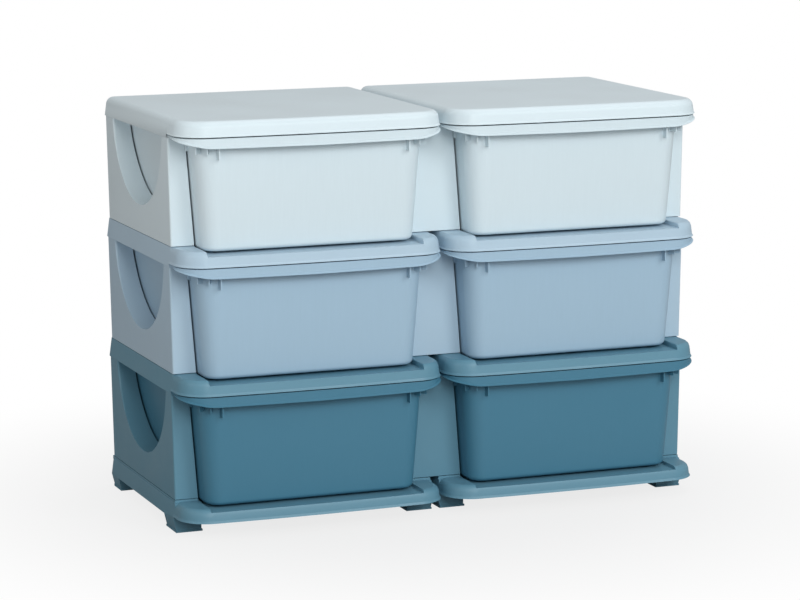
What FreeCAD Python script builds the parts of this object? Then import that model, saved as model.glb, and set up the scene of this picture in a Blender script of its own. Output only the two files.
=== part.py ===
import FreeCAD, Part
import math
import os

from FreeCAD import Vector

os.makedirs("parts", exist_ok=True)

# Toy storage drawer unit of moulded plastic: two columns side by side, three drawers in each.
# X runs to the right, Y to the back and Z up. The origin is on the floor under the middle of the unit.
# Sizes are in millimetres.

# Outline of one column, seen from above
column_width = 380.4
column_gap = 5.8
panel_depth = 305.0
front_overhang = 67.0
rear_overhang = 10.0
front_bow = 5.4
front_corner = 42.0
rear_corner = 16.0

# Heights
tiers = 3
foot_height = 18.3
skirt_height = 27.0
panel_height = 147.0
cover_height = 26.0
front_raise = 4.8

# Walls, draft and edges of the base, shelves and covers
wall = 2.5
skirt_flare = 3.5
front_roll = 8.0
cover_round = 9.0
edge_bead = 1.2
bead_height = 3.0
rib_thickness = 2.0
shelf_rib_height = 6.0
cover_rib_height = 9.0
rib_spacing = 76.0
roll_facets = 3

# Channel that a drawer slides in
channel_depth = 7.8
channel_end_gap = 8.0

# Plinth on the base, which the lowest panels stand on
plinth_height = 3.6

# Feet
foot_width = 35.0
foot_depth = 44.6
foot_lean = 4.5
foot_ahead = 3.5
foot_lip = 1.3
foot_lip_height = 2.5

# Panels: their inner rims lean outward as they rise, like the drawer between them
stile_width = 32.7
stile_width_top = 24.2
panel_lean = 2.7
panel_rear_round = 8.0
stile_round = 2.5
side_cut_front = 29.0
side_cut_rear = 42.0
side_cut_sill = 39.0
side_cut_round = 3.0
panel_rib_pitch = 49.0
neck_height = 16.0
neck_tie_overlap = 4.0
seat_clearance = 0.4

# Tongues under the panels, which plug into slots in the plate below
tongue_length = 26.0
tongue_thickness = 5.0
tongue_drop = 8.0
tongue_offset = 16.0
tongue_margin = 24.0
tongues_per_side = 3

# Back panels
back_lap = 8.0
back_lap_thickness = 2.2
back_rise = 21.0
back_window_count = 3

# Drawers
drawer_wall = 2.2
drawer_side_gap = 2.5
drawer_floor_gap = 0.3
drawer_top_gap = 1.2
drawer_front_lead = 48.0
drawer_front_draft = 3.0
drawer_back_gap = 8.0
drawer_corner = 28.0
drawer_bottom_round = 6.0
drawer_rim = 1.3
drawer_rim_height = 4.0

# Lip across the front of a drawer, which the fingers reach under
lip_gap = 1.2
lip_draft = 1.5
lip_side_height = 3.5
lip_front_height = 16.5
lip_bead = 1.0
gusset_thickness = 1.6
long_gusset_inset = 29.5
long_gusset_drop = 33.0
short_gusset_insets = (13.4, 4.5)
short_gusset_drop = 23.5
gusset_setback = 4.0
stop_lug_depth = 5.0
stop_lug_drop = 22.0
stop_lug_width = 2.0

# Places that follow from the sizes above
half_column = column_width / 2
column_spacing = column_width + column_gap
depth = edge_bead + front_overhang + panel_depth + rear_overhang
front_y = -depth / 2 + edge_bead
stile_y = front_y + front_overhang
panel_rear_y = stile_y + panel_depth
rear_y = panel_rear_y + rear_overhang
pitch = panel_height + skirt_height
base_seam = foot_height + skirt_height
bow_radius = (half_column ** 2 + front_bow ** 2) / (2 * front_bow)
panel_bottom_half = half_column - skirt_flare
panel_top_half = panel_bottom_half + panel_lean
opening_half_width = panel_bottom_half - stile_width
opening_half_width_top = panel_top_half - stile_width_top
side_slope = (opening_half_width_top - opening_half_width) / panel_height
cut_half = (panel_depth - side_cut_front - side_cut_rear) / 2
cut_height = panel_height - side_cut_sill
cut_y = stile_y + side_cut_front + cut_half
channel_rear_y = panel_rear_y - channel_end_gap
back_lap_y = panel_rear_y - wall - seat_clearance - back_lap_thickness
drawer_bottom = drawer_floor_gap - channel_depth
drawer_top = panel_height + front_raise - drawer_top_gap
past = 1.0


def block(x0, x1, y0, y1, z0, z1):
    """Box between two corners."""
    return Part.makeBox(x1 - x0, y1 - y0, z1 - z0, Vector(x0, y0, z0))


def mirrored(shape):
    """Copy of a shape on the other side of the plane X = 0."""
    return shape.mirror(Vector(0, 0, 0), Vector(1, 0, 0))


def moved(shape, x, y, z):
    """Copy of a shape moved by a distance along each axis."""
    copy = shape.copy()
    copy.translate(Vector(x, y, z))
    return copy


def line(a, b):
    """Straight edge from one point to the other."""
    return Part.LineSegment(a, b).toShape()


def arc(a, middle, b):
    """Round edge through three points."""
    return Part.Arc(a, middle, b).toShape()


def outline(inset, z):
    """Column outline: a bowed front, straight sides and back, and round corners, all drawn in by inset."""
    half = half_column - inset
    front = front_y + inset
    rear = rear_y - inset
    bow = bow_radius - inset
    corner = front_corner - inset
    back = rear_corner - inset
    centre_x = half - corner
    centre_y = front + bow - math.sqrt((bow - corner) ** 2 - centre_x ** 2)
    reach = bow / (bow - corner)
    bow_x = centre_x * reach
    bow_y = front + bow + (centre_y - front - bow) * reach
    turn = math.atan2(bow_y - centre_y, bow_x - centre_x) / 2
    mid_x = centre_x + corner * math.cos(turn)
    mid_y = centre_y + corner * math.sin(turn)
    tip = back * (1 - math.sqrt(0.5))
    right = [
        arc(Vector(bow_x, bow_y, z), Vector(mid_x, mid_y, z), Vector(half, centre_y, z)),
        line(Vector(half, centre_y, z), Vector(half, rear - back, z)),
        arc(Vector(half, rear - back, z), Vector(half - tip, rear - tip, z), Vector(half - back, rear, z)),
    ]
    left = [mirrored(edge) for edge in reversed(right)]
    front_edge = arc(Vector(-bow_x, bow_y, z), Vector(0, front, z), Vector(bow_x, bow_y, z))
    rear_edge = line(Vector(half - back, rear, z), Vector(back - half, rear, z))
    return Part.Wire(Part.__sortEdges__([front_edge] + right + [rear_edge] + left))


def outline_block(inset0, z0, inset1, z1):
    """Solid between the column outline at one height and at another."""
    return Part.makeLoft([outline(inset0, z0), outline(inset1, z1)], True, True)


def skirt_inset(z):
    """How far the flared skirt has drawn in at a height above its lower edge."""
    return skirt_flare * z / skirt_height


def skirt_block(thickness, z0, z1):
    """Solid inside the flared skirt and thickness away from its outer face; z = 0 is the lower edge."""
    return outline_block(thickness + skirt_inset(z0), z0, thickness + skirt_inset(z1), z1)


def front_zone(z0, z1):
    """Everything ahead of the stiles between two heights."""
    return block(-column_width, column_width, front_y - front_overhang, stile_y, z0, z1)


def rounded_block(thickness, z0, z1, radius, facets):
    """Like skirt_block, with the top edge rounded off in a few facets."""
    levels = [(0, z0)]
    for i in range(facets + 1):
        angle = math.pi / 2 * i / facets
        levels.append((radius * (1 - math.cos(angle)), z1 - radius + radius * math.sin(angle)))
    wires = [outline(thickness + skirt_inset(z) + extra, z) for extra, z in levels]
    return Part.makeLoft(wires, True, True)


def rolled_block(thickness, z0, z1, radius, facets):
    """Like skirt_block, with the top edge rounded ahead of the stiles only."""
    zone = front_zone(z0 - past, z1 + past)
    front = rounded_block(thickness, z0, z1, radius, facets).common(zone)
    return front.fuse(skirt_block(thickness, z0, z1).cut(zone)).removeSplitter()


def front_bead():
    """Raised bead round the front part of a skirt, along its lower edge."""
    low = front_raise
    high = front_raise + bead_height
    ring = skirt_block(-edge_bead, low, high).cut(skirt_block(wall / 2, low - past, high + past))
    return ring.common(front_zone(low - past, high + past))


def rib_places(limit):
    """Distances from the middle at which ribs stand, spread evenly within a limit."""
    count = int(limit // rib_spacing)
    return [rib_spacing * i for i in range(-count, count + 1)]


def under_ribs(top, height, half_width):
    """Ribs under a plate, from the front to the back, hanging down from the height called top."""
    return [block(x - rib_thickness / 2, x + rib_thickness / 2, stile_y, channel_rear_y, top - height, top)
            for x in rib_places(half_width)]


def tongue_places():
    """Middle of each tongue along the depth of a panel."""
    first = stile_y + tongue_margin + tongue_length / 2
    last = panel_rear_y - tongue_margin - tongue_length / 2
    return [first + (last - first) * i / (tongues_per_side - 1) for i in range(tongues_per_side)]


def tongues(x, clearance, z0, z1):
    """Row of tongues, or of the slots for them, at a distance from the middle of a column."""
    thick = tongue_thickness / 2 + clearance
    long = tongue_length / 2 + clearance
    return [block(x - thick, x + thick, y - long, y + long, z0, z1) for y in tongue_places()]


def tongue_slots():
    """Slots in a tray for the tongues of the panels on both sides."""
    x = opening_half_width + tongue_offset
    z0 = skirt_height - tongue_drop - seat_clearance
    z1 = skirt_height + past
    return tongues(-x, seat_clearance, z0, z1) + tongues(x, seat_clearance, z0, z1)


def plinth(inset, z0, z1):
    """U-shaped ring under the panels of one column, drawn in by inset on every side."""
    half = panel_bottom_half - inset
    inner = opening_half_width + inset
    whole = block(-half, half, stile_y + inset, panel_rear_y - inset, z0, z1)
    return whole.cut(block(-inner, inner, stile_y - past, channel_rear_y + inset, z0 - past, z1 + past))


def tray(plinth_rise):
    """Plate with a flared skirt and rails beside a channel for a drawer; z = 0 is the skirt's lower edge."""
    top = skirt_height - plinth_rise
    floor = skirt_height - channel_depth
    pan_half = opening_half_width + wall
    body = rolled_block(0, 0, top, front_roll, roll_facets)
    cavity = rolled_block(wall, -past, top - wall, front_roll - wall, 1)
    pan = block(-pan_half, pan_half, front_y - past, channel_rear_y + wall, floor - wall, top)
    body = body.cut(cavity.cut(pan))
    if plinth_rise > 0:
        body = body.fuse(plinth(0, top - wall, skirt_height))
        body = body.cut(plinth(wall, top - wall, skirt_height - wall))
    body = body.cut(block(-opening_half_width, opening_half_width, front_y - past, channel_rear_y,
                          floor, skirt_height + past))
    body = body.cut(front_zone(-past, front_raise))
    ribs = under_ribs(floor - wall, shelf_rib_height, pan_half)
    return body.fuse([front_bead()] + ribs).cut(tongue_slots()).removeSplitter()


def foot_part(inset, y0, y1, z0):
    """Body of a foot from z0 up, drawn in by inset: it leans out to the skirt and then follows it."""
    top = skirt_height - plinth_height - wall / 2 - inset
    lean = foot_lean * -z0 / foot_height
    below = outline_block(lean + inset, z0, inset, 0)
    within = below.fuse(skirt_block(inset, 0, top))
    inner_x = half_column - foot_lean - foot_width + inset
    return within.common(block(inner_x, column_width, y0 + inset, y1 - inset, z0, top))


def foot(y0, y1):
    """Right-hand foot with a lip round its sole, and its hollow; z = 0 is the skirt's lower edge."""
    lip_inset = foot_lean - foot_lip
    sole = outline_block(lip_inset, -foot_height, lip_inset, foot_lip_height - foot_height)
    inner_x = half_column - foot_lean - foot_width - foot_lip
    lip = sole.common(block(inner_x, column_width, y0 - foot_lip, y1 + foot_lip, -foot_height, 0))
    whole = foot_part(0, y0, y1, -foot_height).fuse(lip)
    hollow = foot_part(wall, y0, y1, -foot_height)
    return whole, hollow


def base():
    """Tray with a plinth on top and four feet."""
    body = tray(plinth_height)
    front = stile_y - foot_ahead
    rear = rear_y - foot_lean
    feet = [foot(front, front + foot_depth), foot(rear - foot_depth, rear + foot_lean)]
    wholes = [whole for whole, hollow in feet]
    hollows = [hollow for whole, hollow in feet]
    body = body.fuse(wholes + [mirrored(whole) for whole in wholes])
    body = body.cut(hollows + [mirrored(hollow) for hollow in hollows])
    return body.cut(tongue_slots()).removeSplitter()


def top_cover():
    """Lid with a soft round edge, ribbed underneath; z = 0 is the skirt's lower edge."""
    roof = cover_height - wall
    body = rounded_block(0, 0, cover_height, cover_round, roll_facets)
    cavity = rounded_block(wall, -past, roof, cover_round - wall, 1)
    body = body.cut(cavity).cut(front_zone(-past, front_raise))
    ribs = under_ribs(roof, cover_rib_height, opening_half_width)
    return body.fuse([front_bead()] + ribs).removeSplitter()


def prism(points, y0, y1):
    """Straight bar along Y whose section has the given X and Z points."""
    corners = [Vector(x, y0, z) for x, z in points]
    face = Part.Face(Part.makePolygon(corners + corners[:1]))
    return face.extrude(Vector(0, y1 - y0, 0))


def arch(grow, x):
    """Outline of the cut in a panel's side: an arc that hangs from the top edge, made larger by grow."""
    radius = (cut_half ** 2 + cut_height ** 2) / (2 * cut_height)
    centre_z = side_cut_sill + radius
    half = math.sqrt((radius + grow) ** 2 - (panel_height - centre_z) ** 2)
    front = Vector(x, cut_y - half, panel_height)
    rear = Vector(x, cut_y + half, panel_height)
    return Part.Wire([arc(front, Vector(x, cut_y, side_cut_sill - grow), rear), line(rear, front)])


def side_cut(grow, x0, x1):
    """Body of the cut in a panel's side between two distances from the middle."""
    return Part.Face(arch(grow, x0)).extrude(Vector(x1 - x0, 0, 0))


def side_cut_mouth():
    """Body of the rounded mouth of the cut, in the outer face of a side panel."""
    face = panel_top_half
    levels = [(i / roll_facets) * math.pi / 2 for i in range(roll_facets + 1)]
    wires = [arch(side_cut_round * (1 - math.cos(angle)), face - side_cut_round * (1 - math.sin(angle)))
             for angle in levels]
    wires.append(arch(side_cut_round, face + past))
    return Part.makeLoft(wires, True, True)


def leaning(z, bottom, top):
    """Distance from the middle at a height on a line that leans from bottom to top."""
    return bottom + (top - bottom) * z / panel_height


def rim_half(z):
    """Distance from the middle of a column to the inner rim of its panels, at a height above the seam."""
    return leaning(z, opening_half_width, opening_half_width_top)


def neck(outer_gap):
    """Trough on top of a panel, which ties the ends of the side cut and stands inside the skirt above."""
    low = panel_height
    high = panel_height + neck_height
    inner = opening_half_width_top + past
    outer_low = half_column - wall - outer_gap
    outer_high = outer_low - skirt_inset(neck_height)
    y1 = rear_y - rear_corner
    shell = prism([(inner, low), (outer_low, low), (outer_high, high), (inner, high)], stile_y, y1)
    floor = low + wall
    hollow = prism([(inner + wall, floor), (outer_low - wall, floor), (outer_high - wall, high + past),
                    (inner + wall, high + past)], stile_y + wall, y1 - wall)
    return shell.cut(hollow)


def panel_pocket(skin_bottom, skin_top, reach):
    """Hollow behind the skin of a panel, less its ribs and the flange round the side cut."""
    roof = panel_height - wall
    low_skin = leaning(wall, skin_bottom, skin_top)
    high_skin = leaning(roof, skin_bottom, skin_top)
    hollow = prism([(reach, wall), (low_skin, wall), (high_skin, roof), (reach, roof)],
                   stile_y + wall, panel_rear_y - wall)
    ribs = []
    for i in range(1, int(roof // panel_rib_pitch) + 1):
        z = panel_rib_pitch * i
        ribs.append(block(reach - past, half_column, stile_y, panel_rear_y, z, z + rib_thickness))
    low = rim_half(wall)
    high = rim_half(roof)
    wide = back_lap + seat_clearance
    groove = prism([(reach, wall), (low + wide, wall), (high + wide, roof), (reach, roof)],
                   back_lap_y - seat_clearance, panel_rear_y - wall)
    return hollow.cut([side_cut(wall, reach - past, half_column)] + ribs).fuse(groove)


def side_panel():
    """Outer panel of one tier, right of a column and open towards the drawer; z = 0 is the seam."""
    body = prism([(opening_half_width, 0), (panel_bottom_half, 0), (panel_top_half, panel_height),
                  (opening_half_width_top, panel_height)], stile_y, panel_rear_y)

    def upright(edge, y, x_min):
        box = edge.BoundBox
        return box.ZLength > panel_height - 0.01 and abs(box.YMin - y) < 0.01 and box.XMin > x_min

    middle_x = (opening_half_width_top + panel_bottom_half) / 2
    body = body.cut([side_cut(0, opening_half_width - past, half_column + past), side_cut_mouth()])
    body = body.makeFillet(panel_rear_round, [e for e in body.Edges if upright(e, panel_rear_y, middle_x)])
    body = body.makeFillet(stile_round, [e for e in body.Edges if upright(e, stile_y, middle_x)])
    body = body.cut(panel_pocket(panel_bottom_half - wall, panel_top_half - wall, opening_half_width - past))
    x = opening_half_width + tongue_offset
    return body.fuse([neck(seat_clearance)] + tongues(x, 0, -tongue_drop, 0)).removeSplitter()


def divider():
    """Panel between the columns: one web with a frame on both faces, and a strip that ties its two necks."""
    middle = column_spacing / 2
    low = middle - opening_half_width
    high = middle - opening_half_width_top
    body = prism([(-low, 0), (low, 0), (high, panel_height), (-high, panel_height)], stile_y, panel_rear_y)
    skin = middle - wall / 2
    pocket = moved(mirrored(panel_pocket(skin, skin, opening_half_width - past)), middle, 0, 0)
    body = body.cut([pocket, mirrored(pocket)])
    body = body.cut(side_cut(0, -middle, middle))
    x = opening_half_width + tongue_offset
    half_extras = [neck(seat_clearance)] + tongues(x, 0, -tongue_drop, 0)
    extras = [moved(mirrored(extra), middle, 0, 0) for extra in half_extras]
    extras += [mirrored(extra) for extra in extras]
    tie_half = middle - half_column + wall + seat_clearance + neck_tie_overlap
    tie = block(-tie_half, tie_half, stile_y, rear_y - rear_corner, panel_height - wall, panel_height)
    return body.fuse(extras + [tie]).removeSplitter()


def back_plate(side_by, z0, z1, y0, y1):
    """Plate across the back whose sides lean with the panels, side_by beyond their inner rims."""
    low = rim_half(z0) + side_by
    high = rim_half(z1) + side_by
    return prism([(-low, z0), (low, z0), (high, z1), (-high, z1)], y0, y1)


def back_panel():
    """Back of one tier: a plate flush with the panels, lapped behind their edges; z = 0 is the seam."""
    joint_y = panel_rear_y - wall - seat_clearance
    plate = back_plate(-seat_clearance, 0, panel_height, joint_y, panel_rear_y)
    top_half = rim_half(panel_height) - seat_clearance
    rise = block(-top_half, top_half, joint_y, panel_rear_y, panel_height, panel_height + back_rise)
    edge = wall + seat_clearance
    lap = back_plate(back_lap, edge, panel_height - edge, back_lap_y, joint_y)
    room = (panel_height - 2 * edge) / back_window_count
    windows = []
    for i in range(back_window_count):
        z0 = edge + i * room + back_lap / 2
        z1 = edge + (i + 1) * room - back_lap / 2
        windows.append(back_plate(-back_lap, z0, z1, back_lap_y - past, panel_rear_y - wall))
    return plate.fuse([rise, lap]).cut(windows).removeSplitter()


def drawer_outline(inset, z):
    """Rounded outline of the drawer's box at a height, drawn in by inset; its walls lean out upwards."""
    rise = (z - drawer_bottom) / (drawer_top - drawer_bottom)
    half = rim_half(z) - drawer_side_gap - inset
    front = stile_y - drawer_front_lead + drawer_front_draft * (1 - rise) + inset
    rear_top = panel_rear_y - wall - back_lap_thickness - drawer_back_gap
    rear = rear_top - side_slope * (drawer_top - z) - inset
    corner = drawer_corner - inset
    straight = half - corner
    mid = half - corner * (1 - math.sqrt(0.5))
    tip = half - mid
    right = [
        arc(Vector(straight, front, z), Vector(mid, front + tip, z), Vector(half, front + corner, z)),
        line(Vector(half, front + corner, z), Vector(half, rear - corner, z)),
        arc(Vector(half, rear - corner, z), Vector(mid, rear - tip, z), Vector(straight, rear, z)),
    ]
    left = [mirrored(edge) for edge in right]
    ends = [line(Vector(-straight, y, z), Vector(straight, y, z)) for y in (front, rear)]
    return Part.Wire(Part.__sortEdges__(right + left + ends))


def drawer_block(inset, z0, z1):
    """Solid inside the drawer's walls between two heights."""
    return Part.makeLoft([drawer_outline(inset, z0), drawer_outline(inset, z1)], True, True)


def drawer_tub(inset, z0, z1, radius, facets, seams):
    """Like drawer_block, with a faceted round along the bottom edge and walls in bands between seams."""
    wires = []
    for i in range(facets + 1):
        angle = math.pi / 2 * i / facets
        extra = radius * (1 - math.sin(angle))
        wires.append(drawer_outline(inset + extra, z0 + radius * (1 - math.cos(angle))))
    for z in seams + [z1]:
        wires.append(drawer_outline(inset, z))
    return Part.makeLoft(wires, True, True)


def lip_low(y, raise_by):
    """Height of the lip's lower edge at a depth: it falls evenly from the stiles to the front."""
    fall = (lip_front_height - lip_side_height) / (front_overhang - lip_gap)
    return drawer_top - lip_side_height - fall * (stile_y - lip_gap - y) + raise_by


def below_lip(raise_by):
    """Everything under the sloping lower edge of the lip, or under a line that much higher."""
    y0 = front_y - front_overhang
    y1 = stile_y
    low = drawer_bottom
    points = [(y0, low), (y1, low), (y1, lip_low(y1, raise_by)), (y0, lip_low(y0, raise_by))]
    corners = [Vector(-column_width, y, z) for y, z in points]
    face = Part.Face(Part.makePolygon(corners + corners[:1]))
    return face.extrude(Vector(2 * column_width, 0, 0))


def drawer_lip():
    """Lip round the front of a drawer: a plate with a rim turned down, hollow underneath."""
    low = drawer_top - lip_front_height - past
    fall = lip_draft / (drawer_top - low)
    zone = block(-column_width, column_width, front_y - front_overhang, stile_y - lip_gap, low, drawer_top)
    body = outline_block(0, low, lip_draft, drawer_top)
    plate = drawer_top - drawer_wall
    cavity = outline_block(drawer_wall, low, drawer_wall + fall * (plate - low), plate)
    body = body.cut(cavity).cut(below_lip(0)).common(zone)
    ring = outline_block(-lip_bead, low, lip_draft - lip_bead, drawer_top)
    half_wall = drawer_wall / 2
    ring = ring.cut(outline_block(half_wall, low - past, half_wall + lip_draft, drawer_top + past))
    bead = ring.common(below_lip(bead_height)).cut(below_lip(0)).common(zone)
    return body.fuse(bead)


def gusset(x, drop):
    """Upright plate under the lip, square to the front."""
    y0 = front_y + lip_draft + gusset_setback
    y1 = stile_y - drawer_front_lead + drawer_corner
    half = gusset_thickness / 2
    return block(x - half, x + half, y0, y1, drawer_top - drop, drawer_top - drawer_wall / 2)


def stop_lug(side):
    """Small upright rib on the side of a drawer, which meets the stile when the drawer is shut."""
    x = rim_half(drawer_top) - drawer_side_gap
    y1 = stile_y - lip_gap
    lug = block(x - drawer_wall - past, x + stop_lug_width, y1 - stop_lug_depth, y1,
                drawer_top - stop_lug_drop, drawer_top - drawer_wall / 2)
    return lug if side > 0 else mirrored(lug)


def drawer():
    """Open box with leaning walls, a rim and a pull lip; z = 0 is the seam that its tier stands on."""
    below_gussets = drawer_top - long_gusset_drop - gusset_setback
    body = drawer_tub(0, drawer_bottom, drawer_top, drawer_bottom_round, 2, [below_gussets])
    cavity = drawer_tub(drawer_wall, drawer_bottom + drawer_wall, drawer_top + past,
                        drawer_bottom_round - drawer_wall, 1, [])
    rim = drawer_block(-drawer_rim, drawer_top - drawer_rim_height, drawer_top)
    extras = [rim, drawer_lip()]
    top_half = rim_half(drawer_top) - drawer_side_gap
    for side in (-1, 1):
        extras.append(gusset(side * (top_half - long_gusset_inset), long_gusset_drop))
        extras += [gusset(side * (top_half - inset), short_gusset_drop) for inset in short_gusset_insets]
        extras.append(stop_lug(side))
    return body.fuse(extras).cut(cavity).removeSplitter()


def write(name, shape):
    """Write one sub-part to its own file."""
    shape.exportStep("parts/" + name + ".step")
    print(name, len(shape.Solids), shape.isValid(), round(shape.Volume / 1000, 1))


tier_names = ["bottom", "middle", "top"]
shelf_names = ["lower", "upper"]
columns = {"left": -column_spacing / 2, "right": column_spacing / 2}
side_shape = side_panel()
divider_shape = divider()
back_shape = back_panel()
drawer_shape = drawer()
tray_shape = tray(0)
base_shape = base()
cover_shape = top_cover()

for column, x in columns.items():
    write("base_" + column, moved(base_shape, x, 0, foot_height))
    write("top_cover_" + column, moved(cover_shape, x, 0, base_seam + tiers * pitch - skirt_height))
    for level, name in enumerate(shelf_names):
        under = base_seam + level * pitch + panel_height
        write("shelf_" + column + "_" + name, moved(tray_shape, x, 0, under))
    outer = side_shape if x > 0 else mirrored(side_shape)
    for level, name in enumerate(tier_names):
        seam = base_seam + level * pitch
        write("side_panel_" + column + "_" + name, moved(outer, x, 0, seam))
        write("back_panel_" + column + "_" + name, moved(back_shape, x, 0, seam))
        write("drawer_" + column + "_" + name, moved(drawer_shape, x, 0, seam))
for level, name in enumerate(tier_names):
    write("divider_" + name, moved(divider_shape, 0, 0, base_seam + level * pitch))
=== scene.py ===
import math

import bmesh
import bpy
import numpy as np
from mathutils import Matrix, Vector


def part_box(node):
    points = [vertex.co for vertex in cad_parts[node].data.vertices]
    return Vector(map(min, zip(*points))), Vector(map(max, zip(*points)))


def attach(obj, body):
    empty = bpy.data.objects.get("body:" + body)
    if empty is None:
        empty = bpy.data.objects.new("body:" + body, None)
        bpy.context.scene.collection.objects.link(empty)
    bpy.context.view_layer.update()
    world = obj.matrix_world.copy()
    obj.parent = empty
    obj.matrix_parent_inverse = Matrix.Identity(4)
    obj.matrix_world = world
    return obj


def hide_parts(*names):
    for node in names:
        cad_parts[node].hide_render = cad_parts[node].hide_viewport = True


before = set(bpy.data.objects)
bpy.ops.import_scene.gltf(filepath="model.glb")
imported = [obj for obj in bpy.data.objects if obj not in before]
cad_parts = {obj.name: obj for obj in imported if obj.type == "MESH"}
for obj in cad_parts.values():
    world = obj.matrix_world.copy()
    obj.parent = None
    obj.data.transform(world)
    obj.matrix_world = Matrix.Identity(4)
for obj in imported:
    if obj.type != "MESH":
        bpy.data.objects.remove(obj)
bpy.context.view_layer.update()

columns = ("left", "right")
tiers = ("bottom", "middle", "top")


# Bases. Each is one moulding with a plinth for the panels, a channel for the lowest drawer and four short
# hollow feet. It is injection-moulded polypropylene, dyed in the mass, and its corners come off the mould
# with a small radius. All lengths are in mm, and y = 0 is the middle of the unit's depth.
column_width = 380.4
front_y = -190.4
front_bow = 5.4
front_corner = 42.0
rear_y = 191.6
rear_corner = 16.0
stile_y = -123.4
skirt_height = 27.0
skirt_bead_top = 7.8
bead_fall = 2.2
seam_gap = 0.9
corner_reach = 4.0
channel_half = 154.0
channel_depth = 7.8
rail_round = 3.5
rail_stop = 3.0
base_radius = 0.8
copied_sharp = 35
bow_steps = 26
corner_steps = 13
side_steps = 4
bow_radius = ((column_width / 2) ** 2 + front_bow ** 2) / (2 * front_bow)

frame_colours = {"bottom": "#5f8da1", "middle": "#adc4d4", "top": "#d3e1e7"}
tint_spread = 0.025
grain_size = 1.6
grain_depth = 0.04
cloud_size = 90.0
streak_width = 3.0
streak_length = 120.0
streak_depth = 0.02


def linear(code):
    """Linear colour of an sRGB hex value: the power law of sRGB with its straight toe."""
    value = np.array([int(code[i:i + 2], 16) for i in (1, 3, 5)]) / 255
    value = np.where(value < 0.04045, value / 12.92, ((value + 0.055) / 1.055) ** 2.4)
    return (*value, 1.0)


def add_node(tree, kind, settings=None, inputs=None):
    """Node of one kind with its settings. Each input is a value, or the socket of another node that feeds
    it."""
    node = tree.nodes.new(kind)
    for key, value in (settings or {}).items():
        setattr(node, key, value)
    for key, value in (inputs or {}).items():
        if isinstance(value, bpy.types.NodeSocket):
            tree.links.new(value, node.inputs[key])
        else:
            node.inputs[key].default_value = value
    return node


def moulded_polypropylene(name, code, streaked=False):
    """Satin polypropylene. A spark-eroded mould leaves a fine grain, the melt leaves soft cloudy shine, and
    the long flow of a drawer's front leaves upright streaks about 3 mm apart."""
    material = bpy.data.materials.new(name)
    material.use_nodes = True
    tree = material.node_tree
    tree.nodes.clear()
    place = add_node(tree, "ShaderNodeTexCoord").outputs["Object"]
    # The real grain is about 0.2 mm across, too fine to show, so it is drawn at 1.6 mm.
    grain = add_node(tree, "ShaderNodeTexNoise", {"noise_dimensions": "3D"},
                     {"Vector": place, "Scale": 1000 / grain_size, "Detail": 2.0, "Roughness": 0.6})
    # Clouds of shine are about a hand's width across.
    cloud = add_node(tree, "ShaderNodeTexNoise", {"noise_dimensions": "3D"},
                     {"Vector": place, "Scale": 1000 / cloud_size, "Detail": 3.0, "Roughness": 0.5})
    fine = add_node(tree, "ShaderNodeBump", None,
                    {"Height": grain.outputs["Fac"], "Strength": 0.6, "Distance": grain_depth / 1000})
    pattern, surface = cloud, fine
    if streaked:
        across, along = 1000 / streak_width, 1000 / streak_length
        stretched = add_node(tree, "ShaderNodeMapping", {"vector_type": "POINT"},
                             {"Vector": place, "Scale": (across, across, along)})
        pattern = add_node(tree, "ShaderNodeTexNoise", {"noise_dimensions": "3D"},
                           {"Vector": stretched.outputs["Vector"], "Scale": 1.0, "Detail": 3.0,
                            "Roughness": 0.65})
        surface = add_node(tree, "ShaderNodeBump", None,
                           {"Height": pattern.outputs["Fac"], "Strength": 1.0,
                            "Distance": streak_depth / 1000, "Normal": fine.outputs["Normal"]})
    colour = linear(code)
    darker = tuple(c * (1 - tint_spread) for c in colour[:3]) + (1.0,)
    lighter = tuple(min(c * (1 + tint_spread), 1.0) for c in colour[:3]) + (1.0,)
    tint = add_node(tree, "ShaderNodeMix", {"data_type": "RGBA"},
                    {0: pattern.outputs["Fac"], 6: darker, 7: lighter})
    shine = add_node(tree, "ShaderNodeMapRange", None,
                     {"Value": cloud.outputs["Fac"], "From Min": 0.3, "From Max": 0.7,
                      "To Min": 0.40, "To Max": 0.50})
    shader = add_node(tree, "ShaderNodeBsdfPrincipled", None,
                      {"Base Color": tint.outputs[2], "Roughness": shine.outputs["Result"], "IOR": 1.49,
                       "Normal": surface.outputs["Normal"]})
    add_node(tree, "ShaderNodeOutputMaterial", None, {"Surface": shader.outputs["BSDF"]})
    return material


def turn(centre, radius, start, end, count):
    """Points and outward normals along an arc: centre plus radius times the unit vector of each angle."""
    angle = np.linspace(start, end, count)
    normal = np.stack([np.cos(angle), np.sin(angle)], axis=1)
    return np.array(centre) + radius * normal, normal


def front_path(back_to):
    """Outline of a column ahead of a depth, from its left side round the bowed front to its right side, as
    points and outward normals: a straight side, a corner arc, the bow, a corner arc and a straight side."""
    corner_x = column_width / 2 - front_corner
    bow_y = front_y + bow_radius
    corner_y = bow_y - math.sqrt((bow_radius - front_corner) ** 2 - corner_x ** 2)
    lean = math.atan2(corner_x, bow_y - corner_y)
    corner = turn((corner_x, corner_y), front_corner, -math.pi / 2 + lean, 0, corner_steps)
    bow = turn((0, bow_y), bow_radius, -math.pi / 2, -math.pi / 2 + lean, bow_steps)
    side_y = np.linspace(corner_y, back_to, side_steps)[1:]
    side = np.stack([np.full(len(side_y), column_width / 2), side_y], axis=1)
    right = np.concatenate([bow[0], corner[0][1:], side])
    right_normal = np.concatenate([bow[1], corner[1][1:], np.tile([1.0, 0.0], (len(side), 1))])
    flip = np.array([-1, 1])
    points = np.concatenate([(right * flip)[:0:-1], right])
    normals = np.concatenate([(right_normal * flip)[:0:-1], right_normal])
    return points, normals


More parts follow.
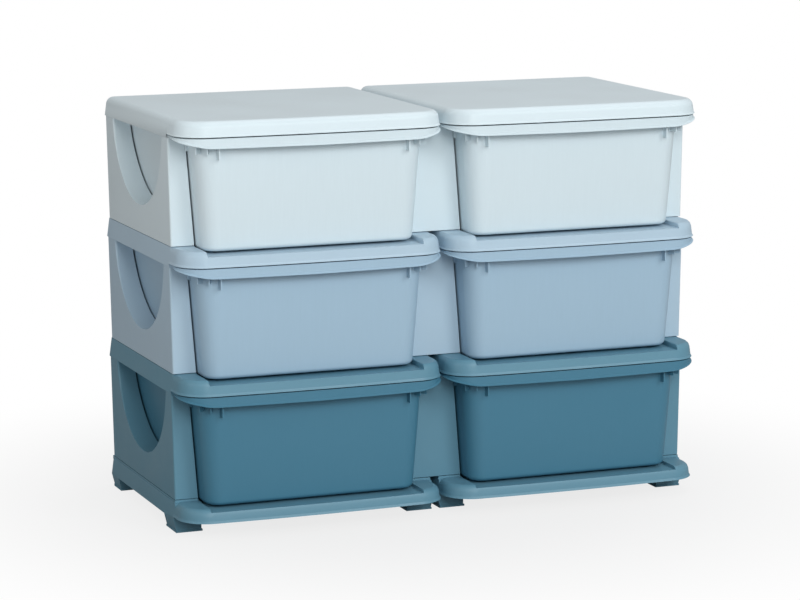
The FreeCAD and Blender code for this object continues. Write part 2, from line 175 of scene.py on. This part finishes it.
def tray_edges(mesh, middle, low, corner_back):
    """Finer edges for a tray, in mm from the middle of its column and from its skirt's lower edge. The plane
    under the panels sinks by seam_gap, which leaves a dark joint; the bead's upper edge falls by bead_fall,
    so its face slopes; the corner by each stile moves back by corner_back; and the rails are rounded ahead
    of the stiles."""
    near = 0.05
    flat = np.empty(len(mesh.vertices) * 3)
    mesh.vertices.foreach_get("co", flat)
    spots = flat.reshape(-1, 3) * 1000 - [middle, 0, low]
    side, y, z = np.abs(spots[:, 0]), spots[:, 1], spots[:, 2]
    points, normals = front_path(stile_y)
    away = np.stack([side, y], axis=1)[:, None] - points
    nearest = np.argmin((away ** 2).sum(axis=2), axis=1)
    out = (away[np.arange(len(spots)), nearest] * normals[nearest]).sum(axis=1)
    # The bead's upper edge is the only one at its height that stands on the outline.
    bead = (np.abs(z - skirt_bead_top) < near) & (out > -0.4) & (y < stile_y + 1)
    seam = z > skirt_height - near
    corner = seam & (np.abs(y - stile_y) < near) & (side > column_width / 2 - corner_reach)
    spots[corner, 1] += corner_back
    spots[bead, 2] -= bead_fall
    spots[seam, 2] -= seam_gap
    mesh.vertices.foreach_set("co", ((spots + [middle, 0, low]) / 1000).ravel())
    solid = bmesh.new()
    solid.from_mesh(mesh)

    def on_rail(vert):
        x, y, z = vert.co * 1000
        return (abs(abs(x - middle) - channel_half) < near and y < stile_y - rail_stop + 2 * near
                and z - low > skirt_height - channel_depth + near)

    rails = [edge for edge in solid.edges if all(on_rail(vert) for vert in edge.verts)]
    bmesh.ops.bevel(solid, geom=rails, offset=rail_round / 1000, offset_type="OFFSET", segments=3,
                    profile=0.5, affect="EDGES", clamp_overlap=True)
    solid.to_mesh(mesh)
    solid.free()


def finished(mesh, name, material, body, radius, sharp, miter="MITER_SHARP"):
    """Piece made of a mesh. Every edge sharper than an angle in degrees gets a round of a radius in mm, and
    large faces stay flat. The piece rides its body."""
    mesh.polygons.foreach_set("use_smooth", np.ones(len(mesh.polygons), dtype=bool))
    mesh.materials.append(material)
    piece = bpy.data.objects.new(name, mesh)
    bpy.context.scene.collection.objects.link(piece)
    rounding = piece.modifiers.new("eased corners", "BEVEL")
    rounding.limit_method = "ANGLE"
    rounding.angle_limit = math.radians(sharp)
    rounding.width = radius / 1000
    rounding.segments = 2
    rounding.miter_outer = miter
    flat = piece.modifiers.new("flat faces", "WEIGHTED_NORMAL")
    flat.mode = "FACE_AREA"
    flat.weight = 50
    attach(piece, body)
    return piece


def eased(node, tier, radius, tray=False, corner_back=0.0):
    """Copy of one of the frame's mouldings with its corners eased: its loose triangles are joined into flat
    faces, and its edges are rounded. A tray is cut just ahead of the stiles and above the bead, and gets its
    finer edges."""
    solid = bmesh.new()
    solid.from_mesh(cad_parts[node].data)
    bmesh.ops.remove_doubles(solid, verts=solid.verts, dist=0.00001)
    bmesh.ops.dissolve_limit(solid, angle_limit=math.radians(0.5), verts=solid.verts, edges=solid.edges)
    lowest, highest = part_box(node)
    low = highest.z * 1000 - skirt_height
    if tray:
        cuts = (((0, stile_y - rail_stop, 0), (0, 1, 0)), ((0, 0, low + skirt_bead_top + 0.3), (0, 0, 1)))
        for spot, facing in cuts:
            bmesh.ops.bisect_plane(solid, geom=solid.verts[:] + solid.edges[:] + solid.faces[:],
                                   plane_co=Vector(spot) / 1000, plane_no=facing)
    # The round at a corner of a concave face can fold that face across a hollow, so such faces are split.
    bmesh.ops.connect_verts_concave(solid, faces=solid.faces[:])
    mesh = bpy.data.meshes.new(node + "_moulding")
    solid.to_mesh(mesh)
    solid.free()
    if tray:
        tray_edges(mesh, (lowest.x + highest.x) * 500, low, corner_back)
    piece = finished(mesh, node + "_moulding", frame_plastic[tier], "frame", radius,
                     copied_sharp, "MITER_ARC")
    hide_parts(node)


frame_plastic = {tier: moulded_polypropylene("injection-moulded polypropylene, " + tier + " tier", code)
                 for tier, code in frame_colours.items()}

for column in columns:
    eased("base_" + column, "bottom", base_radius, tray=True)


# Side panels and dividers. They stand between the plates on tongues and carry the load. An arch is cut
# through each, and its mouth on the outer face is rounded for a child's hand. They are moulded hollow, open
# towards the drawer, in the same polypropylene as the base.
panel_radius = 0.8

for tier in tiers:
    for column in columns:
        eased("side_panel_" + column + "_" + tier, tier, panel_radius)
    eased("divider_" + tier, tier, panel_radius)


# Back panels. Each closes the back of one tier, lapped behind the panels' rear edges. They are thin flat
# polypropylene mouldings, stiffened by two ledges across.
back_radius = 0.4

for tier in tiers:
    for column in columns:
        eased("back_panel_" + column + "_" + tier, tier, back_radius)


# Shelves. Each is a tray whose flared skirt laps over the panels below, with a fine bead round its front
# edge and a channel that the drawer above slides in. The lower one is dyed as the bottom tier, the upper one
# as the middle tier.
shelf_radius = 0.6
shelf_corner_back = 12.0

for column in columns:
    for level, tier in (("lower", "bottom"), ("upper", "middle")):
        eased("shelf_" + column + "_" + level, tier, shelf_radius, tray=True, corner_back=shelf_corner_back)


# Lids. Each is a flat plate with a soft round edge and a flared skirt, with the same bead round its front
# as the shelves, moulded in one piece with the ribs under it.
lid_height = 26.0
lid_round = 9.0
lid_raise = 4.8
lid_bead = 1.2
lid_bead_height = 0.8
bead_slope = 2.0
skirt_flare_slope = 3.5 / 27.0
plate_thickness = 2.5
rib_spacing = 76.0
rib_thickness = 2.0
rib_height = 9.0
rib_inset = 18.0
lid_radius = 0.4
modelled_sharp = 50


def whole_path():
    """Outline of a column all the way round, as points and outward normals. The two points at the stiles
    are there twice, because the skirt's lower edge steps down between them."""
    points, normals = front_path(stile_y)
    back = rear_y - rear_corner
    corner = turn((column_width / 2 - rear_corner, back), rear_corner, 0, math.pi / 2, 8)
    half = np.concatenate([points[-1:], corner[0]])
    half_normal = np.concatenate([normals[-1:], corner[1]])
    flip = np.array([-1, 1])
    return (np.concatenate([points, half, (half * flip)[::-1]]),
            np.concatenate([normals, half_normal, (half_normal * flip)[::-1]]))


def carried(points, normals, out, height):
    """Profile carried along a path: every point moves along its normal by out and stands at height. Rows are
    the profile's steps and columns the path's points."""
    rows = np.broadcast(out, height).shape[0]
    out, height = (np.broadcast_to(v, (rows, len(points))) for v in (out, height))
    flat = points[None] + normals[None] * out[..., None]
    return np.concatenate([flat, height[..., None]], axis=2)


def quads(rows, cols, ring_rows, ring_cols):
    """Corners of the faces between neighbours of a grid of points; ring_rows and ring_cols say which
    direction closes on itself."""
    r = np.arange(rows if ring_rows else rows - 1)[:, None]
    c = np.arange(cols if ring_cols else cols - 1)[None]
    r1, c1 = (r + 1) % rows, (c + 1) % cols
    corners = [r * cols + c, r * cols + c1, r1 * cols + c1, r1 * cols + c]
    return np.stack([np.broadcast_to(k, (r.size, c.size)) for k in corners], axis=2).reshape(-1, 4)


def slab(x0, x1, y0, y1, z0, z1):
    """Corners of a thin plate and its six faces."""
    x, y, z = np.meshgrid([x0, x1], [y0, y1], [z0, z1], indexing="ij")
    corners = np.stack([x.ravel(), y.ravel(), z.ravel()], axis=1)
    return corners, [(0, 1, 3, 2), (4, 6, 7, 5), (0, 4, 5, 1), (2, 3, 7, 6), (0, 2, 6, 4), (1, 5, 7, 3)]


def moulding(node, name, shells, high, material, body, radius):
    """Piece made of closed shells, each an array of points in mm and a list of faces. It takes the place of a
    node: in the middle of its width, with the height high at its top."""
    lowest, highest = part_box(node)
    place = np.array([(lowest.x + highest.x) * 500, 0, highest.z * 1000 - high])
    points, faces, start = [], [], 0
    for shell_points, shell_faces in shells:
        points.append(shell_points.reshape(-1, 3))
        faces += [[int(k) + start for k in face] for face in shell_faces]
        start += len(points[-1])
    mesh = bpy.data.meshes.new(name)
    mesh.from_pydata((np.concatenate(points) + place) / 1000, [], faces)
    solid = bmesh.new()
    solid.from_mesh(mesh)
    bmesh.ops.remove_doubles(solid, verts=solid.verts, dist=0.000002)
    bmesh.ops.recalc_face_normals(solid, faces=solid.faces)
    solid.to_mesh(mesh)
    solid.free()
    piece = finished(mesh, name, material, body, radius, modelled_sharp)
    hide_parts(node)


def lid_shells():
    """Closed shell of the lid and its ribs. The profile runs from the middle of the top out over the round
    edge, down the skirt, round the bead and up the inner face; it is carried round the whole outline."""
    points, normals = whole_path()
    ahead = np.zeros(len(points))
    ahead[:len(front_path(stile_y)[0])] = 1.0
    angle = np.linspace(math.pi / 2, 0, 9)
    low = lid_raise * ahead
    bead = lid_bead * ahead
    step = lid_bead_height * ahead
    out, height = [], []

    def level(inset, z):
        out.append(-inset + 0 * ahead)
        height.append(z + 0 * ahead)

    top_round = lid_height - lid_round
    for a in angle:
        z = top_round + lid_round * math.sin(a)
        level(lid_round * (1 - math.cos(a)) + skirt_flare_slope * z, z)
    # The bead slopes out from the skirt, in rows of height over its edge and share of its depth.
    skirt_low = low + step
    for part, share in ((bead_slope + 0.3, 0.0), (bead_slope, 0.0), (0.0, 1.0)):
        level(skirt_flare_slope * skirt_low - bead * share, skirt_low + part * ahead)
    # Its lower edge is rounded, in rows of share of its depth and height over the skirt's end.
    for share, rise in ((1.0, 0.4), (0.7, 0.0)):
        level(skirt_flare_slope * low - bead * share, low + rise * ahead)
    level(plate_thickness + skirt_flare_slope * low, low)
    inner_round = lid_round - plate_thickness
    roof = lid_height - plate_thickness
    for a in angle[::-2]:
        z = roof - inner_round + inner_round * math.sin(a)
        level(plate_thickness + inner_round * (1 - math.cos(a)) + skirt_flare_slope * z, z)
    skin = carried(points, normals, np.array(out), np.array(height))
    rows, cols = skin.shape[:2]
    faces = quads(rows, cols, False, True).tolist()
    faces += [list(range(cols)), list(range((rows - 1) * cols, rows * cols))]
    shells = [(skin, faces)]
    for k in (-2, -1, 0, 1, 2):
        x = k * rib_spacing
        shells.append(slab(x - rib_thickness / 2, x + rib_thickness / 2, stile_y, rear_y - rib_inset,
                           roof - rib_height, roof + plate_thickness / 2))
    return shells


for column in columns:
    node = "top_cover_" + column
    moulding(node, node + "_lid", lid_shells(), lid_height, frame_plastic["top"], "frame",
             lid_radius)


# Drawers. Each is one moulding: an open box with leaning walls, a rim, and a hooded lip that a hand pulls,
# stiffened by small upright webs. The front's long flow of melt leaves faint upright streaks in the
# polypropylene.
panel_height = 147.0
opening_half = 154.0
opening_half_top = 165.2
drawer_low = -7.5
drawer_high = 150.6
side_gap = 2.5
front_lead = 48.0
front_draft = 9.0
front_curve = 1.6
corner_taper = 7.0
drawer_rear = 168.9
drawer_corner = 28.0
bottom_round = 6.0
runner_height = 3.0
runner_width = 6.0
runner_x = 100.0
runner_end = 135.0
drawer_wall = 2.2
wall_from = 14.0
wall_to = 40.0
rim_out = 1.3
rim_height = 4.0
rim_edge = 0.8
rim_cut = 0.25
lip_back = stile_y - 1.2
lip_draft = 1.5
lip_top_gap = 0.5
lip_side_height = 2.5
lip_corner_height = 2.9
lip_shoulder_height = 14.1
lip_front_height = 14.9
lip_ease = 3.0
lip_hollow = 0.6
lip_bead = 0.9
lip_bead_height = 0.5
lip_bead_slope = 1.9
lip_edge = 0.8
lip_root_round = ((0.0, 1.5), (1.0, 0.4), (2.0, 0.0))
web_thickness = 1.6
web_reach = 38.0
webs = ((-90, 30.5), (-65, 22.5), (-40, 22.5))
stop_width = 2.0
stop_depth = 5.0
stop_drop = 22.0
drawer_radius = 0.3
side_slope = (opening_half_top - opening_half) / panel_height
drawer_colours = {"bottom": "#447a92", "middle": "#a0bbce", "top": "#d2e0e6"}


def box_path(height, inset, count=9):
    """Rounded outline of the drawer's box at a height, drawn in by inset, as points. The side and rear walls
    move out evenly as they rise, the front falls back more and more towards the bottom, and the corners get
    tighter on the way down."""
    rise = (height - drawer_low) / (drawer_high - drawer_low)
    half = opening_half + side_slope * height - side_gap
    front = stile_y - front_lead + front_draft * max(1 - rise, 0) ** front_curve
    corner = drawer_corner - corner_taper * max(1 - rise, 0)
    rear = drawer_rear - side_slope * (drawer_high - height)
    x, y0, y1 = half - corner, front + corner, rear - corner
    radius = corner - inset
    parts = [turn((x, y0), radius, -math.pi / 2, 0, count)[0],
             turn((x, y1), radius, 0, math.pi / 2, count)[0],
             turn((-x, y1), radius, math.pi / 2, math.pi, count)[0],
             turn((-x, y0), radius, math.pi, 1.5 * math.pi, count)[0]]
    return np.concatenate(parts)


def box_shell():
    """Closed shell of the drawer's box. The profile runs from the middle of the outer floor round the bottom
    edge, up the wall, over the rim, down the inner wall and onto the inner floor."""
    # Each level is how far it is drawn in from the outer wall, and its height.
    levels = []
    bottom = drawer_low + runner_height
    for a in np.linspace(0, math.pi / 2, 7):
        levels.append((bottom_round * (1 - math.sin(a)), bottom + bottom_round * (1 - math.cos(a))))
    rim_low = drawer_high - rim_height
    steps = np.linspace(bottom + wall_from, drawer_high - wall_to, 7)
    levels += [(0, z) for z in steps]
    levels += [(0, rim_low - 0.4), (-0.15, rim_low - 0.1), (-rim_out + 0.3, rim_low),
               (-rim_out, rim_low + 0.4), (-rim_out, drawer_high - rim_edge),
               (-rim_out + rim_cut, drawer_high - rim_cut),
               (-rim_out + rim_edge, drawer_high), (drawer_wall - rim_edge, drawer_high),
               (drawer_wall - rim_cut, drawer_high - rim_cut), (drawer_wall, drawer_high - rim_edge)]
    levels += [(drawer_wall, z) for z in steps[::-1]]
    inner_round = bottom_round - drawer_wall
    floor = bottom + drawer_wall
    for a in np.linspace(math.pi / 2, 0, 6):
        levels.append((drawer_wall + inner_round * (1 - math.sin(a)),
                       floor + inner_round * (1 - math.cos(a))))
    rings = np.array([np.insert(box_path(z, inset), 2, z, axis=1) for inset, z in levels])
    rows, cols = rings.shape[:2]
    faces = quads(rows, cols, False, True).tolist()
    faces += [list(range(cols)), list(range((rows - 1) * cols, rows * cols))]
    return rings, faces


def lip_height(points):
    """How far the lip hangs down at each point of its outline. It is highest at the middle of the bow, falls
    a little to the shoulders and then evenly round the corners, and the bends between are smoothed."""
    steps = np.linalg.norm(np.diff(points, axis=0), axis=1)
    along = np.concatenate([[0], np.cumsum(steps)])
    along = np.abs(along - along[-1] / 2)
    half = len(points) // 2
    shoulder, corner, end = (along[half + k] for k in (bow_steps - 1, bow_steps + corner_steps - 2, half))
    height = np.interp(along, [0, shoulder, corner, corner + lip_ease, end],
                       [lip_front_height, lip_shoulder_height, lip_corner_height, lip_side_height,
                        lip_side_height])
    for _ in range(2):
        padded = np.pad(height, 1, mode="edge")
        height = (padded[:-2] + 2 * padded[1:-1] + padded[2:]) / 4
    return height


def lip_shell():
    """Closed shell of the pull lip. Its profile runs from the box out over the top, round the edge, down the
    front, which hollows a little, out over the sloped bead and back up inside."""
    points, normals = front_path(lip_back)
    low = drawer_high - lip_height(points)
    top = drawer_high - lip_top_gap
    out, height = [], []

    def level(inset, z):
        out.append(-inset + 0 * low)
        height.append(z + 0 * low)

    def draft(z):
        return lip_draft * (1 - (drawer_high - z) / (lip_front_height + 1))

    for a in np.linspace(math.pi / 2, 0, 4):
        z = top - lip_edge * (1 - math.sin(a))
        level(draft(z) + lip_edge * (1 - math.cos(a)), z)
    # Where the lip hangs down only a little, its bead gets smaller with it.
    face = np.maximum(top - lip_edge - low, 0.5)
    bead = lip_bead * np.minimum(face / 4, 1)
    bead_low = np.minimum(lip_bead_height, face * 0.2)
    slope = np.minimum(lip_bead_slope, face * 0.5)
    level(lip_draft / 2 + lip_hollow, low + bead_low + slope * 1.15)
    level(lip_draft / 2 + lip_hollow, low + bead_low + slope)
    level(-bead, low + bead_low)
    level(-bead * 0.6, low)
    level(drawer_wall + draft(low), low)
    under = top - drawer_wall
    for inward, drop in lip_root_round:
        level(drawer_wall + inward + draft(under), np.maximum(under - drop, low))
    skin = carried(points, normals, np.array(out), np.array(height))
    inner = lip_root(points, drawer_wall / 2)
    upper = np.column_stack([inner, np.full(len(inner), top)])
    lower = np.column_stack([inner, np.full(len(inner), under)])
    skin = np.concatenate([upper[None], skin, lower[None]])
    rows, cols = skin.shape[:2]
    faces = quads(rows, cols, True, False).tolist()
    faces += [[r * cols for r in range(rows)], [r * cols + cols - 1 for r in range(rows)]]
    return skin, faces


def lip_root(points, inset):
    """Where the lip joins the box: for each point of the lip's outline, the matching point of the box's
    front, corner or side."""
    half = opening_half + side_slope * drawer_high - side_gap
    front = stile_y - front_lead
    x, y = half - drawer_corner, front + drawer_corner
    right = np.concatenate([
        np.column_stack([np.linspace(0, x, bow_steps), np.full(bow_steps, front + inset)]),
        turn((x, y), drawer_corner - inset, -math.pi / 2, 0, corner_steps)[0][1:],
        np.column_stack([np.full(side_steps - 1, half - inset), np.linspace(y, lip_back, side_steps)[1:]])])
    return np.concatenate([(right * [-1, 1])[:0:-1], right])


def web_shells():
    """Small upright webs under the lip, which stand out from the box's front corners like rays; each has its
    angle in degrees and how far down it reaches. Then the stops on the box's sides, and the two low runners
    under its floor, which leave the dark gap below the front."""
    shells = []
    stop_x = opening_half + side_slope * drawer_high - side_gap
    under = drawer_high - drawer_wall / 2
    centre = np.array([stop_x - drawer_corner, stile_y - front_lead + drawer_corner, 0])
    for side in (-1, 1):
        for angle, drop in webs:
            corners, faces = slab(drawer_corner - drawer_wall / 2, web_reach, -web_thickness / 2,
                                  web_thickness / 2, drawer_high - drop, under)
            c, k = math.cos(math.radians(angle)), math.sin(math.radians(angle))
            corners = corners @ np.array([[c, k, 0], [-k, c, 0], [0, 0, 1]]) + centre
            shells.append((corners * [side, 1, 1], faces))
        x0, x1 = sorted((side * (stop_x - drawer_wall), side * (stop_x + stop_width)))
        shells.append(slab(x0, x1, lip_back - stop_depth, lip_back, drawer_high - stop_drop, under))
        x0, x1 = sorted((side * runner_x, side * (runner_x + runner_width)))
        shells.append(slab(x0, x1, -runner_end, runner_end, drawer_low, drawer_low + runner_height + 1.0))
    return shells


for tier in tiers:
    plastic = moulded_polypropylene("injection-moulded polypropylene, " + tier + " drawers",
                                    drawer_colours[tier], streaked=True)
    for column in columns:
        node = "drawer_" + column + "_" + tier
        moulding(node, node + "_box", [box_shell(), lip_shell()] + web_shells(), drawer_high, plastic,
                 node, drawer_radius)


# Floor, light and camera. A pale sweep, two soft lamps from the front, a weak one from above and another
# beside the left panels, and an even sky. The camera stands where the photograph was taken from. Lengths
# here are in metres.
def lamp(name, spot, aim, size, power, colour=(1.0, 1.0, 1.0)):
    """Square lamp at a spot, turned to an aim."""
    light = bpy.data.lights.new(name, "AREA")
    light.shape = "SQUARE"
    light.size = size
    light.energy = power
    light.color = colour
    lamp_object = bpy.data.objects.new(name, light)
    lamp_object.location = spot
    lamp_object.rotation_euler = (Vector(aim) - Vector(spot)).to_track_quat("-Z", "Y").to_euler()
    bpy.context.scene.collection.objects.link(lamp_object)


middle = (0.0, 0.0, 0.28)
lamp("key lamp", (1.9, -3.6, 2.5), middle, 1.6, 58, (0.96, 0.99, 1.0))
lamp("front lamp", (-0.5, -4.2, 2.0), middle, 1.8, 80, (0.96, 0.99, 1.0))
lamp("top lamp", (0.9, 0.3, 3.2), middle, 1.6, 20, (0.98, 0.97, 1.0))
lamp("side lamp", (-1.3, -0.5, 0.75), (-0.38, 0.0, 1.6), 0.6, 3.6)

world = bpy.data.worlds.new("studio")
bpy.context.scene.world = world
world.use_nodes = True
world.node_tree.nodes.clear()
sky = add_node(world.node_tree, "ShaderNodeBackground", None,
               {"Color": (1.0, 0.98, 0.96, 1.0), "Strength": 0.40})
white = add_node(world.node_tree, "ShaderNodeBackground", None, {"Color": (1, 1, 1, 1), "Strength": 1.0})
path = add_node(world.node_tree, "ShaderNodeLightPath")
seen = add_node(world.node_tree, "ShaderNodeMath", {"operation": "MAXIMUM"})
world.node_tree.links.new(path.outputs["Is Camera Ray"], seen.inputs[0])
world.node_tree.links.new(path.outputs["Is Transmission Ray"], seen.inputs[1])
choice = add_node(world.node_tree, "ShaderNodeMixShader", None, {"Fac": seen.outputs["Value"]})
world.node_tree.links.new(sky.outputs["Background"], choice.inputs[1])
world.node_tree.links.new(white.outputs["Background"], choice.inputs[2])
add_node(world.node_tree, "ShaderNodeOutputWorld", None, {"Surface": choice.outputs["Shader"]})

floor_mesh = bpy.data.meshes.new("floor")
reach = 14.0
floor_mesh.from_pydata([(-reach, -reach, 0), (reach, -reach, 0), (reach, reach, 0), (-reach, reach, 0)], [],
                       [(0, 1, 2, 3)])
floor = bpy.data.objects.new("floor", floor_mesh)
bpy.context.scene.collection.objects.link(floor)
paint = bpy.data.materials.new("matt white studio paint")
paint.use_nodes = True
paint.node_tree.nodes.clear()
matt = add_node(paint.node_tree, "ShaderNodeBsdfDiffuse", None, {"Color": (0.44, 0.44, 0.44, 1.0)})
glow = add_node(paint.node_tree, "ShaderNodeEmission", None, {"Color": (1, 1, 1, 1), "Strength": 1.0})
floor_path = add_node(paint.node_tree, "ShaderNodeLightPath")
# The shadow shows near the unit, and 0.9 m away the floor has faded into the white of the backdrop.
floor_place = add_node(paint.node_tree, "ShaderNodeTexCoord").outputs["Object"]
distance = add_node(paint.node_tree, "ShaderNodeVectorMath", {"operation": "LENGTH"}, {0: floor_place})
fade = add_node(paint.node_tree, "ShaderNodeMapRange", {"interpolation_type": "SMOOTHSTEP"},
                {"Value": distance.outputs["Value"], "From Min": 0.25, "From Max": 0.9,
                 "To Min": 0.80, "To Max": 1.0})
share = add_node(paint.node_tree, "ShaderNodeMath", {"operation": "MULTIPLY"},
                 {0: floor_path.outputs["Is Camera Ray"], 1: fade.outputs["Result"]})
floor_mix = add_node(paint.node_tree, "ShaderNodeMixShader", None, {"Fac": share.outputs["Value"]})
paint.node_tree.links.new(matt.outputs["BSDF"], floor_mix.inputs[1])
paint.node_tree.links.new(glow.outputs["Emission"], floor_mix.inputs[2])
add_node(paint.node_tree, "ShaderNodeOutputMaterial", None, {"Surface": floor_mix.outputs["Shader"]})
floor_mesh.materials.append(paint)

yaw, pitch, roll = 0.370, 0.1696, -0.0035
ahead = np.array([math.sin(yaw) * math.cos(pitch), math.cos(yaw) * math.cos(pitch), -math.sin(pitch)])
level_right = np.array([math.cos(yaw), -math.sin(yaw), 0.0])
level_up = np.cross(level_right, ahead)
right = math.cos(roll) * level_right + math.sin(roll) * level_up
up = -math.sin(roll) * level_right + math.cos(roll) * level_up
camera_data = bpy.data.cameras.new("camera")
camera_data.sensor_width = 36.0
camera_data.lens = 137.0
camera_data.clip_end = 60.0
camera = bpy.data.objects.new("camera", camera_data)
turned = Matrix([[right[i], up[i], -ahead[i]] for i in range(3)]).to_4x4()
camera.matrix_world = Matrix.Translation((-1.5521, -3.9942, 1.0105)) @ turned
bpy.context.scene.collection.objects.link(camera)
bpy.context.scene.camera = camera
bpy.context.scene.view_settings.view_transform = "Standard"
